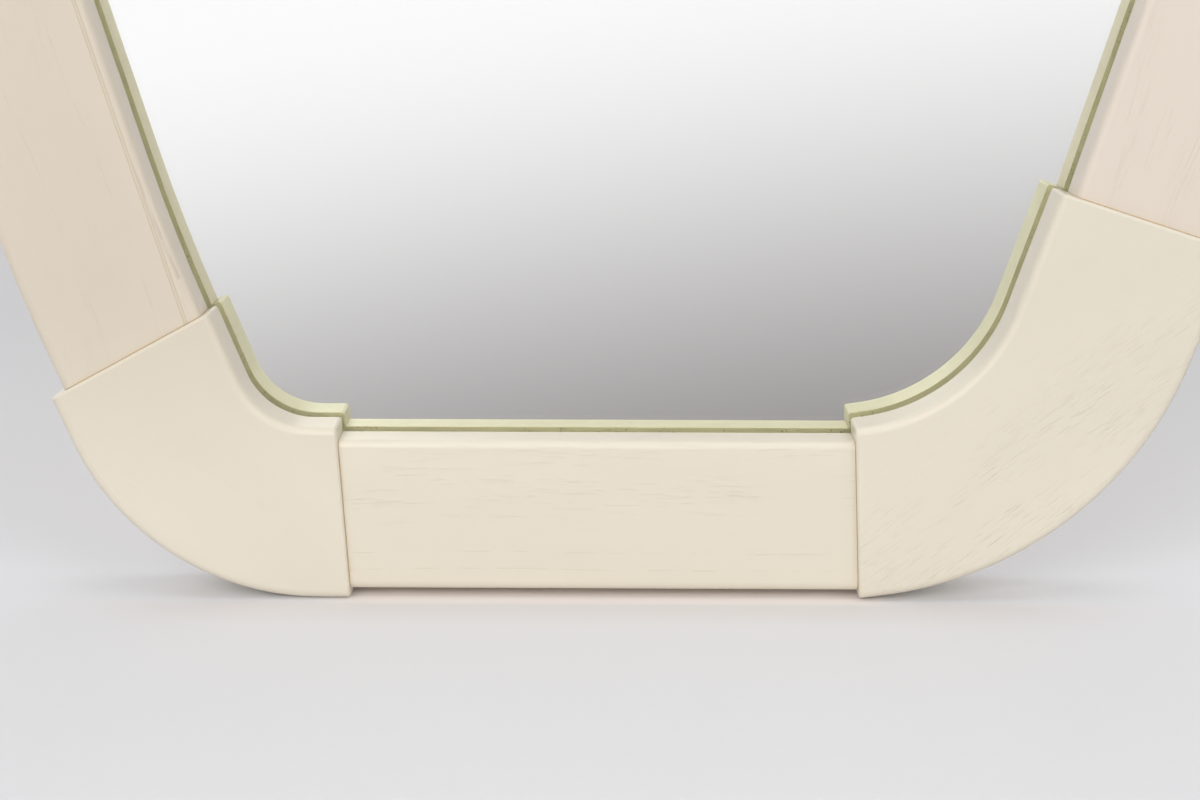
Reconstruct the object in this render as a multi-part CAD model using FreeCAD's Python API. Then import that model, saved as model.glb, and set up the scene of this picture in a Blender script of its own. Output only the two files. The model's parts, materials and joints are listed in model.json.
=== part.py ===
import FreeCAD, Part
import math
import os

# A framed wall mirror, in millimetres and degrees.
# Seen from the front, X runs to the right, Y to the back and Z up.
# The origin is on the floor line, in the middle of the mirror's width and depth.

# Sight line: the closed line where the inner walls of the rails and stiles meet the glass.
# These sizes give it clockwise from the right end of the bottom rail.
RAIL_LENGTH = 197.0
STILE_LEAN_DEG = 15.34
SMALL_RAIL_LEG = 10.5
SMALL_RADIUS = 29.8
SMALL_TURN_DEG = 69.5
SMALL_STILE_LEG = 31.0
FLARE_RADIUS = 700.0
STILE_LENGTH = 432.0
UPPER_LEG = 12.0
UPPER_RADIUS = 50.0
LARGE_STILE_LEG = 51.2
LARGE_RADIUS = 60.8
LARGE_RAIL_LEG = 4.2

# Each joint leans this much towards its elbow, which is then shorter on its outer side.
SMALL_RAIL_SKEW_DEG = -2.4
SMALL_STILE_SKEW_DEG = 8.0
LARGE_STILE_SKEW_DEG = 2.5
LARGE_RAIL_SKEW_DEG = 3.5
UPPER_SKEW_DEG = 0.0

# Elbows: inner radius, and how far they step inside the rail and the stile at their joints
ELBOW_WIDTH = 69.7
SMALL_INNER_RADIUS = 27.5
SMALL_RAIL_STEP = 5.7
SMALL_STILE_STEP = 3.7
LARGE_INNER_RADIUS = 64.5
LARGE_RAIL_STEP = 6.2
LARGE_STILE_STEP = 6.0
LARGE_RAIL_SLOPE_DEG = 8.0
LARGE_STILE_SLOPE_DEG = 1.7
UPPER_INNER_RADIUS = 45.0
UPPER_STEP = 5.0

# Wooden sections
RAIL_WIDTH = 61.0
ELBOW_PROUD = 2.5
LIP_DEPTH = 13.0
INNER_ROUND = 3.0
OUTER_ROUND = 4.0
ELBOW_END_EASE = 1.2
RAIL_END_EASE = 0.4

# Dowels across the joints
DOWEL_RADIUS = 4.0
DOWEL_LENGTH = 40.0
DOWEL_FIRST = 23.0
DOWEL_SPACING = 22.0
DOWEL_GLUE_GAP = 0.05
DOWEL_END_GAP = 0.5

# Glass and back, from the lip to the frame's back face
GLASS_OVERLAP = 8.0
GLASS_GAP = 1.5
GLASS_THICKNESS = 5.0
COAT_THICKNESS = 0.2
CARD_THICKNESS = 1.8
BOARD_THICKNESS = 6.0
SETTING_BLOCK_LENGTH = 30.0
SETTING_BLOCK_SPACING = 120.0

# Screws
SCREW_RADIUS = 2.0
SCREW_HEAD_RADIUS = 3.8
SCREW_HEAD_HEIGHT = 1.6
SCREW_GRIP = 16.0
SCREW_SLOT_WIDTH = 0.9
SCREW_SLOT_DEPTH = 0.8
SCREW_PILOT_GAP = 0.05
SCREW_HOLE_GAP = 0.15

# Turn buttons
BUTTON_WIDTH = 14.0
BUTTON_REACH = 20.0
BUTTON_THICKNESS = 2.0
BUTTON_SETBACK = 11.0
BUTTON_EDGE_ROUND = 0.5
BUTTON_RUNNING_GAP = 0.05
BUTTON_LIFT = 0.1
BOTTOM_BUTTON_SHARES = (0.5,)
STILE_BUTTON_SHARES = (0.1, 0.5, 0.9)
TOP_BUTTON_SHARES = (0.2, 0.8)

# Hangers
HANGER_SHARE = 0.74
HANGER_OFFSET = 27.0
STRAP_WIDTH = 11.0
STRAP_LENGTH = 46.0
STRAP_THICKNESS = 1.0
STRAP_FIRST_SCREW = 22.0
STRAP_SCREW_SPACING = 16.0
RING_WIRE_RADIUS = 1.2
RING_RUNNING_GAP = 0.05
RING_WIDTH = 18.0
RING_SIDE = 6.0
RING_CORNER = 3.0
RING_REST_TILT_DEG = 3.0

# Rubber pads that stand against the wall
PAD_RADIUS = 10.0
PAD_TIP_RADIUS = 8.5
PAD_TIP_ROUND = 1.0
PAD_THICKNESS = 5.0

# Reach of the cutting tools past the wood, and how close counts as touching
CUT_MARGIN = 12.0
TOUCH = 1e-4

# Depths along Y
RAIL_DEPTH = LIP_DEPTH + GLASS_THICKNESS + COAT_THICKNESS + CARD_THICKNESS + BOARD_THICKNESS
ELBOW_DEPTH = RAIL_DEPTH + ELBOW_PROUD
ELBOW_FRONT = -(ELBOW_DEPTH + PAD_THICKNESS) / 2
RAIL_FRONT = ELBOW_FRONT + ELBOW_PROUD
GLASS_FRONT = RAIL_FRONT + LIP_DEPTH
COAT_FRONT = GLASS_FRONT + GLASS_THICKNESS
CARD_FRONT = COAT_FRONT + COAT_THICKNESS
BOARD_FRONT = CARD_FRONT + CARD_THICKNESS
FRAME_BACK = RAIL_FRONT + RAIL_DEPTH
WALL_PLANE = FRAME_BACK + PAD_THICKNESS

# Turns that close the sight line: each lower corner and its upper corner make up half a turn.
LOWER_TURN_DEG = 90 - STILE_LEAN_DEG
UPPER_TURN_DEG = 180 - LOWER_TURN_DEG
FLARE_TURN_DEG = LOWER_TURN_DEG - SMALL_TURN_DEG

# Offsets outwards from the sight line
REBATE = GLASS_OVERLAP + GLASS_GAP
BUTTON_PIVOT = REBATE + BUTTON_SETBACK
SECTOR_INSIDE = -max(SMALL_RAIL_STEP, LARGE_RAIL_STEP, LARGE_STILE_STEP) - CUT_MARGIN
SECTOR_OUTSIDE = 3 * ELBOW_WIDTH

ACROSS = FreeCAD.Vector(1, 0, 0)
BACK = FreeCAD.Vector(0, 1, 0)
UP = FreeCAD.Vector(0, 0, 1)


def direction(angle):
    """Unit vector in the mirror's plane, counted from +X towards +Z."""
    turn = math.radians(angle)
    return FreeCAD.Vector(math.cos(turn), 0, math.sin(turn))


def at_depth(point, y):
    return FreeCAD.Vector(point.x, y, point.z)


class Straight:
    """A straight stretch of the sight line."""

    def __init__(self, length):
        self.length = length

    def along(self, point, heading, share):
        return point + direction(heading) * (self.length * share), heading


class Bend:
    """A stretch of the sight line that bends clockwise."""

    def __init__(self, radius, turn):
        self.radius = radius
        self.turn = turn

    def centre(self, point, heading):
        return point + direction(heading - 90) * self.radius

    def along(self, point, heading, share):
        turned = heading - self.turn * share
        return self.centre(point, heading) + direction(turned + 90) * self.radius, turned


def sight_line(top_rail, right_stile):
    """Stretches of the sight line, for a length of top rail and of right stile."""
    return [
        Straight(RAIL_LENGTH),
        Straight(SMALL_RAIL_LEG),
        Bend(SMALL_RADIUS, SMALL_TURN_DEG),
        Straight(SMALL_STILE_LEG),
        Bend(FLARE_RADIUS, FLARE_TURN_DEG),
        Straight(STILE_LENGTH),
        Straight(UPPER_LEG),
        Bend(UPPER_RADIUS, UPPER_TURN_DEG),
        Straight(UPPER_LEG),
        Straight(top_rail),
        Straight(UPPER_LEG),
        Bend(UPPER_RADIUS, UPPER_TURN_DEG),
        Straight(UPPER_LEG),
        Straight(right_stile),
        Straight(LARGE_STILE_LEG),
        Bend(LARGE_RADIUS, LOWER_TURN_DEG),
        Straight(LARGE_RAIL_LEG),
    ]


BOTTOM_RAIL = 0
SMALL_ELBOW = 1
SMALL_BEND = 2
FLARE = 4
LEFT_STILE = 5
UPPER_LEFT_ELBOW = 6
UPPER_LEFT_BEND = 7
TOP_RAIL = 9
UPPER_RIGHT_ELBOW = 10
UPPER_RIGHT_BEND = 11
RIGHT_STILE = 13
LARGE_ELBOW = 14
LARGE_BEND = 15


def walk(stretches, point):
    """Places at which the stretches start, and where the last one ends, from a start heading left."""
    heading = 180
    places = [(point, heading)]
    for stretch in stretches:
        point, heading = stretch.along(point, heading, 1)
        places.append((point, heading))
    return places


# The right stile makes up the missing height, and the top rail then the missing width.
ORIGIN = FreeCAD.Vector(0, 0, 0)
gap = walk(sight_line(0, 0), ORIGIN)[-1][0]
RIGHT_STILE_LENGTH = gap.z / math.cos(math.radians(STILE_LEAN_DEG))
TOP_RAIL_LENGTH = RIGHT_STILE_LENGTH * math.sin(math.radians(STILE_LEAN_DEG)) - gap.x
STRETCHES = sight_line(TOP_RAIL_LENGTH, RIGHT_STILE_LENGTH)

# The upper elbows reach furthest to both sides, so the middle between their bends is the mirror's middle.
loose = walk(STRETCHES, ORIGIN)
bends = [STRETCHES[bend].centre(*loose[bend]) for bend in (UPPER_LEFT_BEND, UPPER_RIGHT_BEND)]
START = FreeCAD.Vector(-(bends[0].x + bends[1].x) / 2, 0, ELBOW_WIDTH - SMALL_RAIL_STEP)
PLACES = walk(STRETCHES, START)


def place_on(index, share, offset):
    """Point on a stretch, moved outwards, and the heading there."""
    point, heading = STRETCHES[index].along(*PLACES[index], share)
    return point + direction(heading + 90) * offset, heading


def outline(offset, y):
    """Closed wire that runs at one distance outside the sight line."""
    edges = []
    for index, stretch in enumerate(STRETCHES):
        first = at_depth(place_on(index, 0, offset)[0], y)
        middle = at_depth(place_on(index, 0.5, offset)[0], y)
        last = at_depth(place_on(index, 1, offset)[0], y)
        if isinstance(stretch, Bend):
            edges.append(Part.Arc(first, middle, last).toShape())
        else:
            edges.append(Part.LineSegment(first, last).toShape())
    return Part.Wire(edges)


def plate(offset, front, depth):
    """Solid with the sight line's shape, grown by an offset."""
    return Part.Face(outline(offset, front)).extrude(BACK * depth)


def edges_on(shape, wire):
    """Edges of a shape whose middles lie on a wire."""
    found = []
    for edge in shape.Edges:
        middle = edge.valueAt((edge.FirstParameter + edge.LastParameter) / 2)
        if wire.distToShape(Part.Vertex(middle))[0] < TOUCH:
            found.append(edge)
    return found


def rounded(shape, wire, radius):
    """Rounds the edges that lie along a wire."""
    return shape.makeFillet(radius, edges_on(shape, wire))


def rebated(shape):
    """Cuts the rebate for the glass and back."""
    return shape.cut(plate(REBATE, GLASS_FRONT, FRAME_BACK - GLASS_FRONT))


def rail_moulding():
    """Ring of rail section along the whole sight line."""
    ring = plate(RAIL_WIDTH, RAIL_FRONT, RAIL_DEPTH).cut(plate(0, RAIL_FRONT, RAIL_DEPTH))
    ring = rounded(ring, outline(RAIL_WIDTH, RAIL_FRONT), OUTER_ROUND)
    ring = rounded(ring, outline(0, RAIL_FRONT), INNER_ROUND)
    return rebated(ring)


class Joint:
    """A butt joint: a plane across the frame, leaning a little towards its elbow."""

    def __init__(self, place, skew, elbow_is_ahead):
        point, heading = PLACES[place]
        lean = -skew if elbow_is_ahead else skew
        self.point = point
        self.heading = heading
        self.outward = direction(heading + 90 + lean)
        self.ahead = direction(heading + lean)

    def at(self, offset):
        return self.point + self.outward * offset


class ElbowEnd:
    """How an elbow meets its joint: its step inside the sight line and its slope to it."""

    def __init__(self, joint, step, slope):
        self.heading = joint.heading + slope
        self.point = joint.point - direction(joint.heading + 90) * step


def elbow_wire(first, last, radius, offset):
    """Edges of an elbow's inner or outer side: a leg, a bend and a leg, past both joints."""
    turn = first.heading - last.heading
    start = first.point + direction(first.heading + 90) * offset
    end = last.point + direction(last.heading + 90) * offset
    into, out = direction(first.heading), direction(last.heading)
    span = end - start
    to_corner = (span.x * out.z - span.z * out.x) / (into.x * out.z - into.z * out.x)
    corner = start + into * to_corner
    tangent = (radius + offset) * math.tan(math.radians(turn / 2))
    bend_start = corner - into * tangent
    bend_end = corner + out * tangent
    centre = bend_start + direction(first.heading - 90) * (radius + offset)
    middle = centre + direction(first.heading + 90 - turn / 2) * (radius + offset)
    points = [start - into * ELBOW_WIDTH, bend_start, middle, bend_end, end + out * ELBOW_WIDTH]
    points = [at_depth(point, ELBOW_FRONT) for point in points]
    return Part.Wire([
        Part.LineSegment(points[0], points[1]).toShape(),
        Part.Arc(points[1], points[2], points[3]).toShape(),
        Part.LineSegment(points[3], points[4]).toShape(),
    ])


def elbow_moulding(first, last, radius):
    """Elbow section, longer than the elbow at both ends."""
    inner = elbow_wire(first, last, radius, 0)
    outer = elbow_wire(first, last, radius, ELBOW_WIDTH)
    ends = []
    for end in (0, -1):
        corners = (inner.OrderedVertexes[end].Point, outer.OrderedVertexes[end].Point)
        ends.append(Part.LineSegment(*corners).toShape())
    edges = Part.sortEdges(inner.Edges + outer.Edges + ends)[0]
    body = Part.Face(Part.Wire(edges)).extrude(BACK * ELBOW_DEPTH)
    body = rounded(body, outer, OUTER_ROUND)
    body = rounded(body, inner, INNER_ROUND)
    return rebated(body)


def sector(first, last):
    """Prism between two joint planes, deeper than the frame."""
    corners = [
        first.at(SECTOR_INSIDE),
        first.at(SECTOR_OUTSIDE),
        last.at(SECTOR_OUTSIDE),
        last.at(SECTOR_INSIDE),
    ]
    corners = [at_depth(corner, ELBOW_FRONT - CUT_MARGIN) for corner in corners]
    face = Part.Face(Part.makePolygon(corners + corners[:1]))
    return face.extrude(BACK * (ELBOW_DEPTH + 2 * CUT_MARGIN))


def end_edges(shape, joint):
    """Edges of an end face that show: its inner wall, front and outer wall."""
    found = []
    for edge in shape.Edges:
        share = edge.LastParameter - edge.FirstParameter
        points = [edge.valueAt(edge.FirstParameter + share * step) for step in (0, 0.5, 1)]
        on_plane = all(abs((at_depth(p, 0) - joint.point).dot(joint.ahead)) < TOUCH for p in points)
        middle = points[1]
        outward = (at_depth(middle, 0) - joint.point).dot(joint.outward)
        behind_lip = middle.y > GLASS_FRONT - TOUCH and outward < RAIL_WIDTH / 2
        on_back = middle.y > FRAME_BACK - TOUCH
        if on_plane and not behind_lip and not on_back:
            found.append(edge)
    return found


def dowel_places(joint):
    depth = (RAIL_FRONT + FRAME_BACK) / 2
    return [at_depth(joint.at(DOWEL_FIRST + DOWEL_SPACING * row), depth) for row in range(2)]


def joint_cylinders(joint, radius, length):
    """Two cylinders across a joint, as dowels or as their holes."""
    made = []
    for middle in dowel_places(joint):
        made.append(Part.makeCylinder(radius, length, middle - joint.ahead * (length / 2), joint.ahead))
    return made


def frame_piece(ring, first, last, ease):
    """One rail, stile or elbow, with eased ends and dowel holes."""
    piece = ring.common(sector(first, last))
    piece = piece.makeFillet(ease, end_edges(piece, first) + end_edges(piece, last))
    for joint in (first, last):
        holes = joint_cylinders(joint, DOWEL_RADIUS + DOWEL_GLUE_GAP, DOWEL_LENGTH + 2 * DOWEL_END_GAP)
        piece = piece.cut(Part.makeCompound(holes))
    return piece


def screw(point, seat):
    """Slotted screw driven forwards from the back, with its head on a seat at depth seat."""
    tip = at_depth(point, FRAME_BACK - SCREW_GRIP)
    shank = Part.makeCylinder(SCREW_RADIUS, seat - tip.y + SCREW_HEAD_HEIGHT / 2, tip, BACK)
    head = Part.makeCylinder(SCREW_HEAD_RADIUS, SCREW_HEAD_HEIGHT, at_depth(point, seat), BACK)
    top = seat + SCREW_HEAD_HEIGHT
    rim = [edge for edge in head.Edges if edge.Closed and abs(edge.BoundBox.YMin - top) < TOUCH]
    head = head.makeFillet(SCREW_HEAD_HEIGHT / 2, rim)
    slot_corner = FreeCAD.Vector(point.x - SCREW_HEAD_RADIUS, top - SCREW_SLOT_DEPTH,
                                 point.z - SCREW_SLOT_WIDTH / 2)
    slot = Part.makeBox(2 * SCREW_HEAD_RADIUS, SCREW_SLOT_DEPTH, SCREW_SLOT_WIDTH, slot_corner)
    return shank.fuse(head).cut(slot).removeSplitter()


def pilot_hole(point):
    """Hole in the wood for a screw."""
    tip = at_depth(point, FRAME_BACK - SCREW_GRIP - SCREW_PILOT_GAP)
    return Part.makeCylinder(SCREW_RADIUS + SCREW_PILOT_GAP, SCREW_GRIP + SCREW_PILOT_GAP, tip, BACK)


def button_places():
    """Pivot and heading of each turn button."""
    shares = [(BOTTOM_RAIL, BOTTOM_BUTTON_SHARES), (LEFT_STILE, STILE_BUTTON_SHARES)]
    shares += [(TOP_RAIL, TOP_BUTTON_SHARES), (RIGHT_STILE, STILE_BUTTON_SHARES)]
    return [place_on(stretch, share, BUTTON_PIVOT) for stretch, row in shares for share in row]


def turn_button(pivot, heading):
    """Flat button with round ends, turned inwards over the backing board."""
    side = direction(heading) * (BUTTON_WIDTH / 2)
    inward = direction(heading - 90)
    base = at_depth(pivot, FRAME_BACK + BUTTON_LIFT)
    tip = base + inward * (BUTTON_REACH - BUTTON_WIDTH / 2)
    nose = inward * (BUTTON_WIDTH / 2)
    edges = [
        Part.LineSegment(base + side, tip + side).toShape(),
        Part.Arc(tip + side, tip + nose, tip - side).toShape(),
        Part.LineSegment(tip - side, base - side).toShape(),
        Part.Arc(base - side, base - nose, base + side).toShape(),
    ]
    body = Part.Face(Part.Wire(edges)).extrude(BACK * BUTTON_THICKNESS)
    top = base.y + BUTTON_THICKNESS
    body = body.makeFillet(BUTTON_EDGE_ROUND, [e for e in body.Edges if e.BoundBox.YMin > top - TOUCH])
    return body.cut(Part.makeCylinder(SCREW_RADIUS + BUTTON_RUNNING_GAP, BUTTON_THICKNESS, base, BACK))


EYE_BORE = RING_WIRE_RADIUS + RING_RUNNING_GAP
EYE_RADIUS = EYE_BORE + STRAP_THICKNESS
EYE_DEPTH = FRAME_BACK + EYE_RADIUS


def hanger_place(stile):
    """Middle of a hanger's eye, on a stile, at the height set by its share of the left stile."""
    level = place_on(LEFT_STILE, HANGER_SHARE, HANGER_OFFSET)[0].z
    point, heading = place_on(stile, 0, HANGER_OFFSET)
    shift = (level - point.z) / math.tan(math.radians(heading))
    return FreeCAD.Vector(point.x + shift, EYE_DEPTH, level)


def hanger_screw_places(eye):
    drops = [STRAP_FIRST_SCREW, STRAP_FIRST_SCREW + STRAP_SCREW_SPACING]
    return [eye - UP * drop for drop in drops]


def hanger_strap(eye):
    """Strap with two screw holes, rolled into an eye at its upper end."""
    low = FreeCAD.Vector(eye.x - STRAP_WIDTH / 2, FRAME_BACK, eye.z - STRAP_LENGTH)
    flat = Part.makeBox(STRAP_WIDTH, STRAP_THICKNESS, STRAP_LENGTH, low)
    foot = [e for e in flat.Edges if e.BoundBox.ZMax < low.z + TOUCH and e.BoundBox.XLength < TOUCH]
    flat = flat.makeFillet(STRAP_WIDTH / 2 - TOUCH, foot)
    start = eye - ACROSS * (STRAP_WIDTH / 2)
    roll = Part.makeCylinder(EYE_RADIUS, STRAP_WIDTH, start, ACROSS)
    bore = Part.makeCylinder(EYE_BORE, STRAP_WIDTH, start, ACROSS)
    strap = flat.fuse(roll).cut(bore)
    for point in hanger_screw_places(eye):
        base = at_depth(point, FRAME_BACK)
        strap = strap.cut(Part.makeCylinder(SCREW_RADIUS + SCREW_HOLE_GAP, STRAP_THICKNESS, base, BACK))
    return strap.removeSplitter()


def hanger_ring(eye):
    """D ring of round wire, hanging down from the eye."""
    half = RING_WIDTH / 2
    bar_end = half - RING_CORNER
    cut_in = RING_CORNER * (1 - math.sqrt(0.5))

    def spot(x, z):
        return eye + FreeCAD.Vector(x, 0, z)

    path = Part.Wire([
        Part.LineSegment(spot(0, 0), spot(bar_end, 0)).toShape(),
        Part.Arc(spot(bar_end, 0), spot(half - cut_in, -cut_in), spot(half, -RING_CORNER)).toShape(),
        Part.LineSegment(spot(half, -RING_CORNER), spot(half, -RING_SIDE)).toShape(),
        Part.Arc(spot(half, -RING_SIDE), spot(0, -RING_SIDE - half), spot(-half, -RING_SIDE)).toShape(),
        Part.LineSegment(spot(-half, -RING_SIDE), spot(-half, -RING_CORNER)).toShape(),
        Part.Arc(spot(-half, -RING_CORNER), spot(cut_in - half, -cut_in), spot(-bar_end, 0)).toShape(),
        Part.LineSegment(spot(-bar_end, 0), spot(0, 0)).toShape(),
    ])
    section = Part.Wire(Part.makeCircle(RING_WIRE_RADIUS, eye, ACROSS))
    ring = path.makePipeShell([section], True, False)
    ring.rotate(eye, ACROSS, RING_REST_TILT_DEG)
    return ring


def setting_blocks():
    """Two blocks under the glass, filling the gap at the bottom of the rebate."""
    middle, _ = place_on(BOTTOM_RAIL, 0.5, REBATE)
    made = []
    for side in (-1, 1):
        x = middle.x + side * SETTING_BLOCK_SPACING / 2 - SETTING_BLOCK_LENGTH / 2
        corner = FreeCAD.Vector(x, GLASS_FRONT, middle.z)
        made.append(Part.makeBox(SETTING_BLOCK_LENGTH, GLASS_THICKNESS, GLASS_GAP, corner))
    return made


def wall_pads():
    """One round pad on the back of each elbow."""
    made = []
    for bend in (SMALL_BEND, UPPER_LEFT_BEND, UPPER_RIGHT_BEND, LARGE_BEND):
        point, _ = place_on(bend, 0.5, RAIL_WIDTH / 2)
        base = at_depth(point, FRAME_BACK)
        pad = Part.makeCone(PAD_RADIUS, PAD_TIP_RADIUS, PAD_THICKNESS, base, BACK)
        rim = [e for e in pad.Edges if e.BoundBox.YMin > WALL_PLANE - TOUCH]
        made.append(pad.makeFillet(PAD_TIP_ROUND, rim))
    return made


def build():
    """All nodes of the mirror by name."""
    joints = [
        Joint(BOTTOM_RAIL, LARGE_RAIL_SKEW_DEG, False),
        Joint(SMALL_ELBOW, SMALL_RAIL_SKEW_DEG, True),
        Joint(FLARE, SMALL_STILE_SKEW_DEG, False),
        Joint(UPPER_LEFT_ELBOW, UPPER_SKEW_DEG, True),
        Joint(TOP_RAIL, UPPER_SKEW_DEG, False),
        Joint(UPPER_RIGHT_ELBOW, UPPER_SKEW_DEG, True),
        Joint(RIGHT_STILE, UPPER_SKEW_DEG, False),
        Joint(LARGE_ELBOW, LARGE_STILE_SKEW_DEG, True),
    ]
    nodes = {}
    rails = rail_moulding()
    for name, first in (("bottom_rail", 0), ("left_stile", 2), ("top_rail", 4), ("right_stile", 6)):
        nodes[name] = frame_piece(rails, joints[first], joints[first + 1], RAIL_END_EASE)

    upper = (UPPER_STEP, 0, UPPER_STEP, 0, UPPER_INNER_RADIUS)
    elbows = [
        ("lower_left", 1, SMALL_RAIL_STEP, 0, SMALL_STILE_STEP, 0, SMALL_INNER_RADIUS),
        ("upper_left", 3, *upper),
        ("upper_right", 5, *upper),
        ("lower_right", 7, LARGE_STILE_STEP, -LARGE_STILE_SLOPE_DEG, LARGE_RAIL_STEP,
         LARGE_RAIL_SLOPE_DEG, LARGE_INNER_RADIUS),
    ]
    for corner, index, first_step, first_slope, last_step, last_slope, radius in elbows:
        first = joints[index]
        last = joints[(index + 1) % len(joints)]
        whole_turn = 360 if last is joints[0] else 0
        last_end = ElbowEnd(last, last_step, last_slope - whole_turn)
        moulding = elbow_moulding(ElbowEnd(first, first_step, first_slope), last_end, radius)
        nodes[corner + "_elbow"] = frame_piece(moulding, first, last, ELBOW_END_EASE)
        dowels = [d for joint in (first, last) for d in joint_cylinders(joint, DOWEL_RADIUS, DOWEL_LENGTH)]
        nodes["dowels_" + corner] = Part.makeCompound(dowels)

    eyes = {"left": hanger_place(LEFT_STILE), "right": hanger_place(RIGHT_STILE)}
    hanger_points = [point for eye in eyes.values() for point in hanger_screw_places(eye)]
    buttons = button_places()
    pilots = Part.makeCompound([pilot_hole(p) for p in hanger_points + [pivot for pivot, _ in buttons]])
    for name in ("bottom_rail", "top_rail", "left_stile", "right_stile"):
        nodes[name] = nodes[name].cut(pilots)

    nodes["mirror_pane"] = plate(GLASS_OVERLAP, GLASS_FRONT, GLASS_THICKNESS)
    nodes["silver_coat"] = plate(GLASS_OVERLAP, COAT_FRONT, COAT_THICKNESS)
    nodes["backing_card"] = plate(GLASS_OVERLAP, CARD_FRONT, CARD_THICKNESS)
    nodes["backing_board"] = plate(GLASS_OVERLAP, BOARD_FRONT, BOARD_THICKNESS)
    nodes["setting_blocks"] = Part.makeCompound(setting_blocks())

    button_seat = FRAME_BACK + BUTTON_THICKNESS + 2 * BUTTON_LIFT
    for number, (pivot, heading) in enumerate(buttons, 1):
        nodes["turn_button_%d" % number] = turn_button(pivot, heading)
    nodes["turn_button_screws"] = Part.makeCompound([screw(pivot, button_seat) for pivot, _ in buttons])

    for side, eye in eyes.items():
        nodes["hanger_strap_" + side] = hanger_strap(eye)
        nodes["hanger_ring_" + side] = hanger_ring(eye)
    strap_seat = FRAME_BACK + STRAP_THICKNESS
    nodes["hanger_screws"] = Part.makeCompound([screw(point, strap_seat) for point in hanger_points])
    nodes["wall_pads"] = Part.makeCompound(wall_pads())
    return nodes


os.makedirs("parts", exist_ok=True)
for name, shape in build().items():
    volumes = [round(solid.Volume, 1) for solid in shape.Solids]
    print(name, "valid" if shape.isValid() else "INVALID", len(volumes), "solids", sum(volumes))
    shape.exportStep("parts/" + name + ".step")
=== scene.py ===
import json
import math
from dataclasses import dataclass

import bpy
from mathutils import Matrix, Vector


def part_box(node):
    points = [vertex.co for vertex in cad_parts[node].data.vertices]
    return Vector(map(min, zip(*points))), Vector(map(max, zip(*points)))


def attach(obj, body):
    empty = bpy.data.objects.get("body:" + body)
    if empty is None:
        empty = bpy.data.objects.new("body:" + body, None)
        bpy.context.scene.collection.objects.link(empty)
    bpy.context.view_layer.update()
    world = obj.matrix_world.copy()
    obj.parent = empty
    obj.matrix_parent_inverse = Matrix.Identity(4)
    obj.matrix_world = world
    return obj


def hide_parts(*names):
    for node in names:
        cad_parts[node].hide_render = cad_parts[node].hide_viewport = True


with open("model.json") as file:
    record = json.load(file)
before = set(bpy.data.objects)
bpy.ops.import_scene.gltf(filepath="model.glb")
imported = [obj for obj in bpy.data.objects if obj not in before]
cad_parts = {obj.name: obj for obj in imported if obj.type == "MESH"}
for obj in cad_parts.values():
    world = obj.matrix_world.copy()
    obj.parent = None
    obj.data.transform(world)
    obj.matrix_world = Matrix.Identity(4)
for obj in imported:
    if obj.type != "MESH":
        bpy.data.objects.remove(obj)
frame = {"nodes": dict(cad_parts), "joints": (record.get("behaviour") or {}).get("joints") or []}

bl_info = {
    "name": "Framed mirror",
    "version": (1, 0, 0),
    "blender": (4, 5, 0),
    "location": "3D View > Sidebar > Mirror",
    "description": "Finishes the pieces of a framed mirror and sets its stage",
    "category": "Object",
}

MM = 0.001
NODES = frame["nodes"]

# Degrees by which each stile leans outwards.
LEAN = 15.34
STILE_HEADING = 90.0 + LEAN


def srgb(red, green, blue):
    """Linear colour of an 8-bit screen colour."""
    shares = [value / 255 for value in (red, green, blue)]
    return tuple(v / 12.92 if v <= 0.04045 else ((v + 0.055) / 1.055) ** 2.4 for v in shares)


def heading_vector(degrees):
    """Unit vector in the mirror's plane, counted from +X towards +Z."""
    turn = math.radians(degrees)
    return Vector((math.cos(turn), 0, math.sin(turn)))


def in_plane(x, z):
    """Point in the mirror's plane, given in millimetres."""
    return Vector((x * MM, 0, z * MM))


@dataclass
class JointLine:
    """The thin glue line of one butt joint: its inner end, and the heading square to it."""
    point: Vector
    heading: float


JOINTS = {
    "bottom right": JointLine(in_plane(92.68, 64.0), 183.5),
    "bottom left": JointLine(in_plane(-104.32, 64.0), 182.4),
    "left low": JointLine(in_plane(-153.59, 112.4), 118.5),
    "left high": JointLine(in_plane(-287.26, 588.97), STILE_HEADING),
    "top left": JointLine(in_plane(-230.22, 663.77), 0.0),
    "top right": JointLine(in_plane(230.22, 663.77), 0.0),
    "right high": JointLine(in_plane(287.26, 588.97), -STILE_HEADING),
    "right low": JointLine(in_plane(169.06, 158.09), -107.84),
}


@dataclass
class Figure:
    """How the wood of one frame piece shows through its paint.

    Grain runs along heading from start. Offsets are counted outwards, square to it, in millimetres.
    Pores are strongest within spread of the offset band, and a lower sparse gives more of them.
    Lines are long grain marks, cuts are router marks, and shade is painted shade: the darker, pinker tone
    against the plain cream that each piece takes on higher up, for light that falls off with height.
    """
    node: str
    start: Vector
    heading: float
    pores: float
    band: float
    spread: float
    joints: tuple
    lines: tuple = ()
    wander: float = 3.0
    cuts: tuple = ()
    shade: tuple = (1.0, 1.0, 1.0)
    sparse: float = 0.46


# Each shade is painted shade: a darker, pinker tone that comes in higher up, for light that falls off with
# height.
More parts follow.
